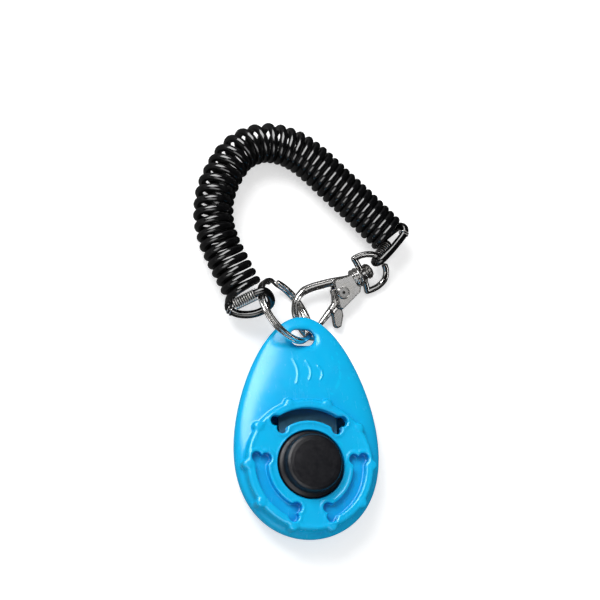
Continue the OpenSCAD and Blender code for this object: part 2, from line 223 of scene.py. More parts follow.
def sweep(name, line, section, end, normal=(0, 0, 1)):
    """Rod along a line. The section's columns lie along the carried normal
    and the binormal, and end is the length of each rounded end."""
    line = np.asarray(line, float)
    along = tangents(line)
    head = [line[0] - along[0] * end * u for u, _ in END_RINGS[::-1]]
    tail = [line[-1] + along[-1] * end * u for u, _ in END_RINGS]
    sizes = [size for _, size in END_RINGS]
    scale = np.concatenate([sizes[::-1], np.ones(len(line)), sizes])
    line = np.vstack([head, line, tail])
    rings, count = len(line), len(section)
    along = tangents(line)
    across = np.zeros_like(line)
    carried = np.asarray(normal, float)
    for i in range(rings):
        carried = carried - (carried @ along[i]) * along[i]
        carried = carried / np.linalg.norm(carried)
        across[i] = carried
    binormal = np.cross(along, across)
    verts = line[:, None, :] + scale[:, None, None] * (
        section[None, :, 0, None] * across[:, None, :]
        + section[None, :, 1, None] * binormal[:, None, :])
    verts = np.vstack([verts.reshape(-1, 3), line[0], line[-1]])
    faces = []
    for i in range(rings - 1):
        this, following = i * count, (i + 1) * count
        for j in range(count):
            k = (j + 1) % count
            faces.append((this + j, this + k, following + k, following + j))
    first_tip, last_tip, last_ring = rings * count, rings * count + 1, (rings - 1) * count
    for j in range(count):
        k = (j + 1) % count
        faces.append((first_tip, k, j))
        faces.append((last_tip, last_ring + j, last_ring + k))
    # one face at mid-length tells whether the winding faces outwards
    middle = (rings - 1) // 2
    a, b, c = (verts[i] for i in faces[middle * count][:3])
    if np.cross(b - a, c - a) @ (a - line[middle]) < 0:
        faces = [tuple(reversed(face)) for face in faces]
    return new_object(name, verts, faces)


def round_section(radius, count, width=1.0, height=1.0, power=2.0):
    angle = 2 * pi * (np.arange(count) + 0.5) / count
    c, s = np.cos(angle), np.sin(angle)
    size = (np.abs(c) ** power + np.abs(s) ** power) ** (1 / power)
    return np.stack([radius * width * c / size, radius * height * s / size], 1)


# ------------------------------------------------------------------
# distances
# ------------------------------------------------------------------
def rod_distance(x, y, z, points, radii):
    """Distance to a rod through the points, with one radius or one per point."""
    points = np.asarray(points, float)
    radii = np.broadcast_to(np.asarray(radii, float), len(points))
    best = np.inf
    for i in range(len(points) - 1):
        a, d = points[i], points[i + 1] - points[i]
        t = ((x - a[0]) * d[0] + (y - a[1]) * d[1] + (z - a[2]) * d[2]) / (d @ d)
        t = np.clip(t, 0, 1)
        gap = np.sqrt((x - a[0] - t * d[0]) ** 2 + (y - a[1] - t * d[1]) ** 2
                      + (z - a[2] - t * d[2]) ** 2 + 1e-12)
        best = np.minimum(best, gap - (radii[i] + t * (radii[i + 1] - radii[i])))
    return best


def segment_square(x, y, a, b):
    """Squared plan distance to the segment a-b."""
    d = b - a
    t = np.clip(((x - a[0]) * d[0] + (y - a[1]) * d[1]) / (d @ d), 0, 1)
    return (x - a[0] - t * d[0]) ** 2 + (y - a[1] - t * d[1]) ** 2


def polygon_distance(x, y, points):
    """Signed distance to a polygon in the plane, negative inside."""
    points = np.asarray(points, float)
    best, inside = np.inf, False
    for a, b in zip(points, np.roll(points, -1, 0)):
        best = np.minimum(best, segment_square(x, y, a, b))
        if a[1] != b[1]:
            edge_x = (b[0] - a[0]) * (y - a[1]) / (b[1] - a[1]) + a[0]
            inside = inside ^ (((a[1] > y) != (b[1] > y)) & (x < edge_x))
    return np.where(inside, -1.0, 1.0) * np.sqrt(best + 1e-12)


# ------------------------------------------------------------------
# materials
# ------------------------------------------------------------------
class Graph:
    """A shader node tree. A value is a number, an RGB or XYZ tuple, or a socket."""

    def __init__(self, tree):
        self.tree = tree

    def feed(self, socket, value):
        if isinstance(value, (int, float)):
            socket.default_value = value
        elif isinstance(value, tuple):
            socket.default_value = (*value, 1) if socket.type == "RGBA" else value
        else:
            self.tree.links.new(value, socket)

    def node(self, kind, inputs=None, **settings):
        node = self.tree.nodes.new(kind)
        for name, value in settings.items():
            setattr(node, name, value)
        for key, value in (inputs or {}).items():
            self.feed(node.inputs[key], value)
        return node

    def ramp(self, source, between, to=(0.0, 1.0), curve="SMOOTHSTEP"):
        inputs = {"From Min": between[0], "From Max": between[1],
                  "To Min": to[0], "To Max": to[1], "Value": source}
        node = self.node("ShaderNodeMapRange", inputs, interpolation_type=curve)
        return node.outputs["Result"]

    def color_ramp(self, source, stops):
        """stops: (position, RGB) from first to last."""
        node = self.node("ShaderNodeValToRGB", {"Fac": source})
        elements = node.color_ramp.elements
        for element, (position, color) in zip(elements, (stops[0], stops[-1])):
            element.position = position
            element.color = (*color, 1)
        for position, color in stops[1:-1]:
            elements.new(position).color = (*color, 1)
        return node.outputs["Color"]


class Surface(Graph):
    """A principled material with textures in object millimetres."""

    def __init__(self, name):
        self.material = bpy.data.materials.new(name)
        self.material.use_nodes = True
        super().__init__(self.material.node_tree)
        self.shader = self.tree.nodes["Principled BSDF"]
        place = self.node("ShaderNodeTexCoord").outputs["Object"]
        mapping = self.node("ShaderNodeMapping", {"Scale": (1000, 1000, 1000), "Vector": place})
        self.coords = mapping.outputs["Vector"]
        self.bump = None

    def set(self, name, value):
        self.feed(self.shader.inputs[name], value)

    def vector(self, operation, *operands):
        return self.node("ShaderNodeVectorMath", dict(enumerate(operands)), operation=operation)

    def noise(self, scale, detail=3.0, rough=0.5, distort=0.0, stretch=None,
              between=None, to=(0.0, 1.0)):
        """Noise, stretched along the axes if asked, and ramped if between is given."""
        coords = self.coords
        if stretch is not None:
            coords = self.vector("MULTIPLY", coords, stretch).outputs[0]
        inputs = {"Scale": scale, "Detail": detail, "Roughness": rough,
                  "Distortion": distort, "Vector": coords}
        factor = self.node("ShaderNodeTexNoise", inputs).outputs["Fac"]
        return factor if between is None else self.ramp(factor, between, to)

    def plus(self, a, b):
        return self.node("ShaderNodeMath", {0: a, 1: b}, operation="ADD").outputs[0]

    def times(self, a, b):
        return self.node("ShaderNodeMath", {0: a, 1: b}, operation="MULTIPLY").outputs[0]

    def mix(self, factor, a, b, blend="MIX"):
        # of the node's typed sockets, 0 is the factor, 6 and 7 the colours, 2 their result
        node = self.node("ShaderNodeMix", {0: factor, 6: a, 7: b},
                         data_type="RGBA", blend_type=blend)
        return node.outputs[2]

    def relief(self, height, strength, depth):
        """Add relief, depth in mm, on top of any relief so far."""
        inputs = {"Strength": strength, "Distance": depth * MM, "Height": height}
        if self.bump is not None:
            inputs["Normal"] = self.bump
        self.bump = self.node("ShaderNodeBump", inputs).outputs["Normal"]
        self.set("Normal", self.bump)

    def edges(self, between):
        geometry = self.node("ShaderNodeNewGeometry")
        return self.ramp(geometry.outputs["Pointiness"], between)


def srgb(*color):
    """Linear colour from 0-255 sRGB."""
    return tuple((c / 255 / 12.92) if c / 255 <= 0.04045 else ((c / 255 + 0.055) / 1.055) ** 2.4
                 for c in color)


def blue_plastic():
    s = Surface("blue_moulded_plastic")
    base, deep = srgb(0, 190, 247), srgb(0, 183, 243)
    pale, crevice_shade_blue = srgb(0, 205, 255), srgb(0, 138, 208)
    flow = s.noise(scale=0.09, detail=4, rough=0.55, distort=0.6, between=(0.35, 0.68))
    color = s.mix(flow, base, deep)
    color = s.mix(s.times(s.edges(between=(0.52, 0.60)), 0.55), color, pale)
    speck = s.noise(scale=5.5, detail=2, rough=0.6, between=(0.66, 0.74))
    color = s.mix(s.times(speck, 0.12), color, deep)
    # painted shade: crevices and slot floors are darkened towards a deeper blue where the
    # ambient occlusion node finds near surfaces
    shade = s.node("ShaderNodeAmbientOcclusion", {"Distance": 0.0032}, samples=8)
    color = s.mix(s.ramp(shade.outputs["AO"], between=(0.35, 0.95)), crevice_shade_blue, color)
    s.set("Base Color", color)
    scuff = s.noise(scale=0.7, detail=5, rough=0.6, stretch=(1.0, 0.25, 1.0),
                    between=(0.52, 0.72))
    gloss = s.noise(scale=0.35, detail=4, rough=0.55, between=(0.3, 0.7), to=(0.21, 0.27))
    s.set("Roughness", s.plus(gloss, s.times(scuff, 0.05)))
    s.set("Specular IOR Level", 0.42)
    s.set("IOR", 1.48)
    s.relief(s.noise(scale=0.16, detail=2), strength=0.30, depth=0.05)
    s.relief(s.noise(scale=6.0, rough=0.6), strength=0.2, depth=0.005)
    hairlines = s.noise(scale=1.6, detail=2, distort=0.4, stretch=(6.0, 0.25, 6.0),
                        between=(0.62, 0.70))
    s.relief(hairlines, strength=0.12, depth=0.004)
    return s


def black_satin():
    s = Surface("black_satin_plastic")
    tone = s.noise(scale=0.5, detail=4, rough=0.6, between=(0.35, 0.7))
    color = s.mix(tone, (0.0065, 0.0068, 0.0095), (0.0095, 0.0098, 0.013))
    # the convex edges are painted a little lighter than the rest
    lighter_edges = s.times(s.edges(between=(0.53, 0.64)), 0.15)
    s.set("Base Color", s.mix(lighter_edges, color, (0.03, 0.03, 0.034)))
    touch = s.noise(scale=0.22, detail=5, rough=0.6, distort=0.8, between=(0.45, 0.65))
    satin = s.noise(scale=1.2, between=(0.3, 0.7), to=(0.38, 0.46))
    s.set("Roughness", s.plus(satin, s.times(touch, -0.06)))
    s.set("Specular IOR Level", 0.3)
    s.relief(s.noise(scale=4.5, rough=0.65), strength=0.3, depth=0.006)
    s.relief(s.noise(scale=0.5, detail=2), strength=0.3, depth=0.02)
    return s


def black_cord():
    s = Surface("glossy_black_cord")
    tone = s.noise(scale=0.6, detail=4, rough=0.6, between=(0.35, 0.7))
    color = s.mix(tone, (0.0022, 0.0022, 0.0025), (0.0055, 0.0055, 0.006))
    dust = s.noise(scale=7.0, detail=2, rough=0.6, between=(0.70, 0.76))
    s.set("Base Color", s.mix(s.times(dust, 0.12), color, (0.20, 0.20, 0.20)))
    gloss = s.noise(scale=1.1, detail=4, rough=0.55, distort=0.5, between=(0.3, 0.72),
                    to=(0.10, 0.19))
    s.set("Roughness", s.plus(gloss, s.times(dust, 0.2)))
    s.set("IOR", 1.5)
    s.set("Coat Weight", 0.3)
    s.set("Coat Roughness", 0.1)
    s.relief(s.noise(scale=0.5, detail=2), strength=0.3, depth=0.02)
    s.relief(s.noise(scale=5.0, detail=2), strength=0.1, depth=0.003)
    return s


def plated(name, tone, rough, lines=None, pits=0.15, bumps=0.003, crease_shade_share=0.6):
    """Metal. rough is its least and greatest roughness, lines the stretch of its drawn lines,
    pits the share of dirty pits, bumps a depth in mm, and the last argument the share of
    painted shade darkening its creases."""
    s = Surface(name)
    warm = tuple(c * q for c, q in zip(tone, (1.0, 0.985, 0.955)))
    grime_and_crease_shade = (0.10, 0.095, 0.09)
    color = s.mix(s.noise(scale=0.35, detail=4, rough=0.6, between=(0.35, 0.7)), tone, warm)
    # painted shade: concave places are darkened towards the grime colour as shade in creases,
    # while the random dark spots below are grime
    crease_shade = s.edges(between=(0.49, 0.40))
    color = s.mix(s.times(crease_shade, crease_shade_share), color, grime_and_crease_shade)
    spots = s.noise(scale=2.4, detail=4, rough=0.65, between=(0.62, 0.74))
    s.set("Base Color", s.mix(s.times(spots, pits), color, grime_and_crease_shade))
    s.set("Metallic", 1.0)
    gloss = s.noise(scale=1.0, detail=4, rough=0.6, distort=0.3, between=(0.3, 0.72), to=rough)
    s.set("Roughness", s.plus(gloss, s.times(spots, 0.8 * pits)))
    s.relief(s.noise(scale=0.7, detail=2), strength=0.25, depth=bumps)
    if lines is not None:
        s.relief(s.noise(scale=2.2, rough=0.7, stretch=lines), strength=0.35, depth=0.008)
    dents = s.noise(scale=4.0, detail=2, rough=0.6, between=(0.66, 0.78))
    s.relief(dents, strength=0.03, depth=-0.0015)
    return s


BLUE = blue_plastic()
BLACK = black_satin()
CORD = black_cord()
RING = plated("bright_nickel_ring", tone=(0.86, 0.855, 0.85), rough=(0.17, 0.20),
              pits=0.02, bumps=0.001)
DEE = plated("bright_nickel_dee", tone=(0.62, 0.615, 0.61), rough=(0.12, 0.18),
             pits=0.06, bumps=0.001)
HOOK = plated("cast_nickel_hook", tone=(0.76, 0.755, 0.75), rough=(0.20, 0.26),
              pits=0.06, bumps=0.001)
GATE = plated("cast_nickel_gate", tone=(0.72, 0.715, 0.71), rough=(0.20, 0.27),
              pits=0.06, bumps=0.001)
RIVET = plated("turned_steel_rivet", tone=(0.50, 0.49, 0.48), rough=(0.18, 0.30),
               lines=(0.4, 0.4, 4.0))
WRAP = plated("binding_wire", tone=(0.96, 0.955, 0.95), rough=(0.30, 0.40),
              pits=0.03, bumps=0.001, crease_shade_share=0.12)
SPRING = plated("spring_wire", tone=(0.5, 0.49, 0.48), rough=(0.2, 0.35))
# the blue tone is a painted reflection of the blue shell walls round the plate, the steel
# itself being grey
PLATE = plated("spring_steel_plate", tone=(0.085, 0.22, 0.32), rough=(0.34, 0.46),
               lines=(5.0, 0.25, 1.0), pits=0.35)

# ------------------------------------------------------------------
# egg-shaped shells: the front one lies above the parting plane
# ------------------------------------------------------------------
EGG_X, EGG_Y = 0.25, 11.05            # middle of the plan outline
HALF_WIDTH, HALF_LENGTH = 20.58, 31.9
EGG_TAPER = (-0.239, 0.026, 0.015)    # change of width with the cosine's 1st-3rd powers
OUTLINE_TURN = np.linspace(-pi, pi, 4097)
FRONT_BASE, BACK_TOP = 7.03, 7.0      # z of each shell's parting face
HOLLOW = {"inset": 1.6, "shorten": 9.5}   # wall thickness, and how far the tip stays solid
DECK_X, DECK_Y = -0.45, -0.55         # centre of the raised round deck
DECK_RADIUS, DECK_TOP = 18.5, 13.05
BUTTON_HOLE = 9.72                    # radius
NUB_RING, NUB_RADIUS, NUB_TOP, NUB_PITCH = 18.25, 1.35, 13.3, radians(36)
SLOT_RADIUS, SLOT_HALF_WIDTH, SLOT_HALF_ANGLE = 14.3, 1.86, radians(37.5)
LOBE_RADII, LOBE_SIZE, LOBE_ANGLE = (12.95, 15.7), 1.5, radians(38.3)
STRAP_X, STRAP_Y, STRAP_HALF, STRAP_RADIUS = -0.1, 36.7, 1.3, 2.4


def egg_outline(inset, shorten):
    c = np.cos(OUTLINE_TURN)
    width = 1 + EGG_TAPER[0] * c + EGG_TAPER[1] * c * c + EGG_TAPER[2] * c ** 3
    return ((HALF_WIDTH - inset) * np.sin(OUTLINE_TURN) * width,
            EGG_Y + (HALF_LENGTH - inset) * c - shorten * ((1 + c) / 2) ** 2)


@cache
def egg_reach(centre_y, inset, shorten):
    """Bearing and distance of the outline seen from (0, centre_y)."""
    x, y = egg_outline(inset, shorten)
    bearing = np.arctan2(x, y - centre_y)
    bearing[0], bearing[-1] = -pi, pi
    return bearing, np.hypot(x, y - centre_y)


def egg_share(x, y, centre_y, inset, shorten):
    """Share of the way out to the outline, and the outline's distance."""
    x = x - EGG_X
    reach = np.interp(np.arctan2(x, y - centre_y), *egg_reach(centre_y, inset, shorten))
    return np.hypot(x, y - centre_y) / reach, reach


def rounded(out, rise, out_size, rise_size, power):
    """Near-distance to a superellipse, from shares of its two half-sizes."""
    size = np.maximum(out ** power + rise ** power, 1e-9) ** (1 / power)
    slope = np.sqrt(((out / size) ** (power - 1) / out_size) ** 2
                    + ((rise / size) ** (power - 1) / rise_size) ** 2)
    return (size - 1) / np.maximum(slope, 0.01)


def dome(x, y, z, height, inset=0, shorten=0):
    height = height * (1 - 0.28 * smoothstep(18, 42, y))    # lower towards the tip
    share, reach = egg_share(x, y, 4, inset, shorten)
    rise = np.maximum(z - FRONT_BASE, 0) / height
    return rounded(share, rise, reach, height, power=2.6)


def bowl(x, y, z, depth, inset=0, shorten=0):
    flat = 0.62                                             # share of the floor that is flat
    depth = depth * (1 - 0.8 * smoothstep(27, 40, y))       # shallower towards the tip
    share, reach = egg_share(x, y, -1, inset, shorten)
    out = np.maximum(0, (share - flat) / 0.38)
    drop = np.maximum(BACK_TOP - z, 0) / depth
    return rounded(out, drop, 0.38 * reach, depth, power=1.9)


def bone_slot(x, y, turn):
    """Plan distance to one curved bone-shaped slot whose middle points at turn."""
    radius = np.hypot(x, y)
    angle = np.abs((np.arctan2(y, x) - radians(turn) + pi) % (2 * pi) - pi)
    shank = soft_max(np.abs(radius - SLOT_RADIUS) - SLOT_HALF_WIDTH,
                     (angle - SLOT_HALF_ANGLE) * radius, 0.3)
    past = angle - LOBE_ANGLE
    out, side = radius * np.cos(past), radius * np.sin(past)
    inner, outer = (np.hypot(out - at, side) - LOBE_SIZE for at in LOBE_RADII)
    return soft_min(shank, soft_min(inner, outer, 0.25), 0.7)


def strap_cut(x, y, z):
    """Rounded slot through the tip, flaring towards both faces."""
    gap = np.hypot(np.maximum(np.abs(x - STRAP_X) - STRAP_HALF, 0), y - STRAP_Y)
    flare = 0.72 * np.maximum(z - 8.7, 0) + 0.69 * np.maximum(7.4 - z, 0)
    return (gap - STRAP_RADIUS - flare) * 0.86


# centre x, centre y and half-height of three short curved strokes near the tip
MARKS = [spline(np.array([[-0.7, h], [0.2, h / 3], [0.35, -h / 3], [-0.25, -h]]) + [x, y], 4)
         for x, y, h in ((-3.1, 26.3, 3.5), (0.7, 26.6, 2.7), (4.1, 26.0, 2.0))]


def strokes(x, y):
    height, width = 0.20, 0.34
    out = 0.0
    for line in MARKS:
        best = np.inf
        for a, b in zip(line, line[1:]):
            best = np.minimum(best, segment_square(x, y, a, b))
        out = out + height * np.exp(-best / width ** 2)
    return out


def ridge(distance, at, width, height):
    return height * np.exp(-((distance - at) / width) ** 2)


def front_shell(x, y, z):
    u, v = x - DECK_X, y - DECK_Y
    radius = np.hypot(u, v)
    skin = dome(x, y, z, height=5.2) - strokes(x, y)
    slots = [bone_slot(u, v, turn) for turn in (90, 211, 329)]
    # raised lips round the slots, the deck's rim and the button hole
    lip = sum(ridge(slot, at=0.55, width=0.48, height=0.20) for slot in slots)
    lip = lip + ridge(radius, at=17.6, width=0.55, height=0.16)
    lip = lip + ridge(radius, at=10.0, width=0.30, height=0.10)
    deck = soft_max(radius - DECK_RADIUS, z - DECK_TOP - lip, 0.8)
    # round nubs evenly spaced on the deck's rim
    angle = np.arctan2(v, u)
    angle = angle - np.round(angle / NUB_PITCH) * NUB_PITCH
    nub = np.hypot(radius * np.cos(angle) - NUB_RING, radius * np.sin(angle)) - NUB_RADIUS
    deck = soft_min(deck, soft_max(nub, z - NUB_TOP, 1.1), 0.6)
    cavity = soft_max(dome(x, y, z, height=4.0, **HOLLOW), z - 10.4, 0.3)
    f = carve(soft_min(skin, deck, 0.7), cavity, 0.2)
    f = soft_max(f, BUTTON_HOLE - radius, 0.35)
    # the +Y slot goes right through, the other two have a floor
    f = carve(f, slots[0], 0.3)
    for slot in slots[1:]:
        f = carve(f, soft_max(slot, 10.9 - z, 0.5), 0.3)
    f = carve(f, strap_cut(x, y, z), 1.0)
    return soft_max(f, FRONT_BASE - z, 0.45)


# x, y, radius and top z of the pegs and of the two posts, which carry thin pins
POST_X, POST_Y = 5.5, 18.2
POSTS = [(0, 29, 1.2, 9.1), (16.2, -6.5, 1.0, 9.1), (-16.2, -6.5, 1.0, 9.1),
         (POST_X, POST_Y, 1.6, 9.3), (-POST_X, POST_Y, 1.6, 9.3)]
PIN_RADIUS, PIN_BASE, PIN_TOP = 0.75, 3, 10.1


def back_shell(x, y, z):
    outer = bowl(x, y, z, depth=7.0)
    f = carve(outer, bowl(x, y, z, depth=5.4, **HOLLOW), 0.3)
    # the wall stops at the parting plane, the pegs and posts pass it
    f = soft_max(f, z - BACK_TOP, 0.4)
    inside = np.where(z < 5, outer + 0.5, -5.0)
    for post_x, post_y, radius, top in POSTS:
        post = soft_max(np.hypot(x - post_x, y - post_y) - radius, z - top, 0.3)
        f = soft_min(f, soft_max(post, inside, 0.1), 0.3)
    for pin_x in (POST_X, -POST_X):
        pin = soft_max(np.hypot(x - pin_x, y - POST_Y) - PIN_RADIUS, z - PIN_TOP, 0.3)
        f = soft_min(f, soft_max(pin, PIN_BASE - z, 0.2), 0.2)
    return carve(f, strap_cut(x, y, z), 0.8)


def build_shells():
    front = field_solid("front_shell_moulding", front_shell,
                        low=(-22.0, -22.0, 6.6), high=(22.0, 44.3, 14.5), cell=0.2)
    back = field_solid("back_shell_moulding", back_shell,
                       low=(-22.0, -22.0, -0.4), high=(22.0, 44.3, 10.6), cell=0.26)
    finish(front, BLUE, "shell", "front_shell")
    finish(back, BLUE, "shell", "back_shell")


# ------------------------------------------------------------------
# button: a turned cap with three feet
# ------------------------------------------------------------------
# radius, z of half the cap's section
CAP_PROFILE = [
    (8.2, 10.8), (9.38, 10.8), (9.38, 12.8), (9.15, 13.2), (8.6, 13.55), (8.25, 13.85),
    (8.18, 14.3), (8.02, 16.0), (7.75, 16.6), (7.2, 16.95), (6.2, 17.14), (4.2, 17.26),
    (2.0, 17.31), (0, 17.33), (-2.0, 17.31), (-2.0, 10.6), (2.15, 10.6), (2.15, 15.9),
    (6.5, 15.9), (6.5, 13.2), (8.2, 12.9)]
FOOT_ANGLES, FOOT_HALF_ANGLE = (0, 180, 270), 11      # degrees
FOOT_INNER, FOOT_BOTTOM = 8.95, 9.18
FOOT_PARTS = [(10.95, 10.22), (9.35, 11.2)]           # outer radius, top z of toe and leg


def button_cap(x, y, z):
    # the cap is centred on the deck, the feet below it on the origin
    shift = smoothstep(10.4, 12.5, z)
    x, y = x - DECK_X * shift, y - DECK_Y * shift
    radius = np.hypot(x, y)
    f = polygon_distance(radius, z, CAP_PROFILE)
    angle = (np.degrees(np.arctan2(y, x)) + 360) % 360
    for middle in FOOT_ANGLES:
        off = np.abs((angle - middle + 180) % 360 - 180)
        wedge = np.radians(off - FOOT_HALF_ANGLE) * radius
        toe, leg = (soft_max(soft_max(band(radius, FOOT_INNER, outer, 0.1),
                                      band(z, FOOT_BOTTOM, top, 0.1), 0.1), wedge, 0.1)
                    for outer, top in FOOT_PARTS)
        f = soft_min(f, soft_min(toe, leg, 0.1), 0.1)
    return f - 0.05


def build_button():
    cap = field_solid("thumb_button_cap", button_cap,
                      low=(-11.6, -11.6, 8.8), high=(11.6, 10.2, 18.1), cell=0.17)
    finish(cap, BLACK, "button", "button_cap")


# ------------------------------------------------------------------
# split ring: flat wire in nearly two turns, leaning through the strap slot
# ------------------------------------------------------------------
RING_CENTRE = np.array([-4.7, 44.5, 7.9])
RING_RADIUS = 10.0
RING_TILT, RING_HEADING = radians(43), radians(34.8)
RING_X = np.array([cos(RING_HEADING) * cos(RING_TILT), sin(RING_HEADING) * cos(RING_TILT),
                   -sin(RING_TILT)])
RING_Y = np.array([-sin(RING_HEADING), cos(RING_HEADING), 0])
RING_AXIS = np.cross(RING_X, RING_Y)
RING_START, RING_TURN = 62, (9, 711)      # degrees
LAYER_OFFSET = 0.52                       # each turn's distance from the middle plane
LAYER_STEP = (346, 374)                   # degrees over which the wire changes layer


def ring_point(angle, height):
    angle = radians(angle)
    return (RING_CENTRE + RING_RADIUS * (cos(angle) * RING_X + sin(angle) * RING_Y)
            + height * RING_AXIS)


def build_ring():
    line = [ring_point(RING_START + turn,
                       -LAYER_OFFSET + 2 * LAYER_OFFSET * float(smoothstep(*LAYER_STEP, turn)))
            for turn in np.linspace(*RING_TURN, 260)]
    section = round_section(radius=1.0, count=28, width=0.72, height=0.52, power=2.7)
    outward = ring_point(RING_START + RING_TURN[0], 0) - RING_CENTRE
    wire = sweep("split_ring_wire", line, section, end=0.18, normal=outward)
    finish(wire, RING, "ring", "split_ring")


# ------------------------------------------------------------------
# coiled cord with an eye at each end
# ------------------------------------------------------------------
CORD_RADIUS = 1.11
# the coil's path seen from above, from the left eye to the right (x, y, z under the coil)
ARCH = [
    [-16.8, 49.6, 2.4], [-18.9, 54.0, 2.1], [-21.4, 59.7, 1.5], [-23.4, 65.1, 0.9],
    [-24.4, 71.1, 0.3], [-23.6, 78.5, 0], [-20.7, 85.3, 0], [-16.0, 91.5, 0],
    [-8.8, 94.7, 0], [-1.2, 93.7, 0], [5.1, 90.1, 0], [12.7, 83.2, 0],
    [20.1, 76.3, 0.2], [28.2, 68.2, 0.5]]
# cord centre lines of the eyes (x, y, z)
LEFT_EYE = [
    [-20.2, 45.6, 9.2], [-18.3, 46.5, 10.4], [-16.2, 47.3, 12.2], [-14.3, 48.2, 13.8],
    [-12.5, 48.5, 14.4], [-10.7, 47.4, 13.4], [-9.8, 46.0, 11.5], [-10.7, 44.7, 9.8],
    [-13.1, 43.5, 8.6], [-15.9, 43.2, 7.3], [-18.6, 43.8, 6.0], [-20.6, 45.4, 5.2]]
RIGHT_EYE = [
    [32.1, 71.0, 7.3], [32.6, 69.8, 8.2], [31.8, 68.0, 8.4], [30.1, 65.9, 8.3],
    [28.2, 63.7, 8.2], [26.3, 61.7, 7.9], [24.9, 60.4, 7.0], [24.2, 60.3, 5.5],
    [24.3, 61.1, 4.0], [25.6, 62.9, 3.2], [27.4, 65.2, 3.1], [29.0, 67.2, 3.2]]
COIL_RADIUS, COIL_LIFT, TURNS = 4.72, 5.93, 39
COIL_START, COIL_EXTRA = -30.0, 15        # degrees: first angle, and turn past the whole count
# distance along the arch, and how far apart the turns lie there
PITCH = [(0, 2.66), (12, 2.64), (17, 2.55), (25, 2.95), (54, 3.12), (60, 2.5), (66, 2.2),
         (140, 2.15)]


def cord_line():
    arch = spline(ARCH, 24)
    run = run_length(arch)
    # share of the turns passed at each point of the arch
    rate = 1.0 / np.interp(run, *zip(*PITCH))
    passed = np.concatenate([[0], np.cumsum(0.5 * (rate[1:] + rate[:-1]) * np.diff(run))])
    passed = passed / passed[-1]
    per_turn = 40
    count = per_turn * TURNS
    share = np.arange(count + 1) / count
    at = np.interp(share, passed, run)
    heading = sample(at, run, tangents(arch))
    heading[:, 2] = 0
    heading = heading / np.linalg.norm(heading, axis=1)[:, None]
    degrees = COIL_START + share * (360 * TURNS + COIL_EXTRA)
    angle, turn = np.radians(degrees), degrees / 360.0
    # each turn sits a hair differently, as in a real wound cord
    wobble = 1 + 0.006 * np.sin(2.3 * turn) + 0.004 * np.sin(5.1 * turn + 1.0)
    side = COIL_RADIUS * wobble * np.cos(angle)
    helix = sample(at, run, arch) + np.stack(
        [-side * heading[:, 1], side * heading[:, 0],
         COIL_LIFT + COIL_RADIUS * np.sin(angle)], 1)
    # the eyes are led in and out by two points of the helix, a tenth of a turn apart
    lead = round(per_turn / 10)
    left = spline(np.vstack([LEFT_EYE, [helix[0], helix[lead]]]), 10)[:-11]
    right = spline(np.vstack([[helix[-1 - lead], helix[-1]], RIGHT_EYE]), 10)[11:]
    line = np.vstack([left, helix, right])
    # ease the two joins
    for _ in range(12):
        for c in (len(left), len(left) + len(helix)):
            line[c - 9:c + 9] = (0.5 * line[c - 9:c + 9]
                                 + 0.25 * (line[c - 10:c + 8] + line[c - 8:c + 10]))
    # even spacing keeps the sweep clean
    run = run_length(line)
    steps = int(run[-1] / (0.55))
    return sample(np.linspace(0, run[-1], steps), run, line)


def build_cord():
    section = round_section(CORD_RADIUS, count=16)
    cord = sweep("coiled_cord", cord_line(), section, end=0.25)
    finish(cord, CORD, "strap", "coil_cord")


# ------------------------------------------------------------------
# wire bindings on the eyes
# ------------------------------------------------------------------
WIRE = 0.175                              # radius
WIND_RADIUS = CORD_RADIUS + WIRE + 0.03
# side, then start, end, turns and radius of the close turns,
# then start, end and turns of the loose tail
BINDINGS = [
    ("left", [-20.0, 45.5, 9.2], [-14.6, 47.8, 13.4], 10.5, WIND_RADIUS + 0.24,
     [-19.4, 44.25, 5.75], [-20.5, 45.3, 5.3], 1.7),
    ("right", [25.7, 63.05, 3.18], [28.7, 66.8, 3.12], 7.5, WIND_RADIUS,
     [32.3, 69.2, 8.3], [31.9, 68.2, 8.38], 1.6)]


def winding(name, start, end, turns, radius, phase=0.0):
    """Wire wound round the line from start to end."""
    per_turn = 26
    start, end = np.asarray(start, float), np.asarray(end, float)
    axis = unit(end - start)
    across = unit(np.cross(axis, [0, 0, 1]))
    step = np.arange(int(turns * per_turn) + 1)[:, None]
    angle = 2 * pi * step / per_turn + phase
    line = (start + (end - start) * (step / (turns * per_turn))
            + radius * (np.cos(angle) * across + np.sin(angle) * np.cross(axis, across)))
    return sweep(name, line, round_section(WIRE, count=10), end=0.1)


def build_bindings():
    for side, start, end, turns, radius, tail_start, tail_end, tail_turns in BINDINGS:
        name = "eye_binding_" + side
        close = winding(name, start, end, turns, radius)
        tail = winding(name + "_tail", tail_start, tail_end, tail_turns, WIND_RADIUS, phase=1.2)
        for wire in (close, tail):
            finish(wire, WRAP, "strap")
        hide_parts("eye_wrap_" + side)


# ------------------------------------------------------------------
# snap hook and D-ring, built in the hook's own frame: x runs from the
# swivel out to the hook's bend, z is the pivot pin's axis
# ------------------------------------------------------------------
HOOK_ORIGIN = np.array([19.3, 56.4, 4.1])
HOOK_HEADING, HOOK_DIP = radians(212), radians(4)
HOOK_ROLL, DEE_ROLL = -9, -30             # degrees
PIVOT = (7.4, 1.3)                        # x, y of the gate's pin
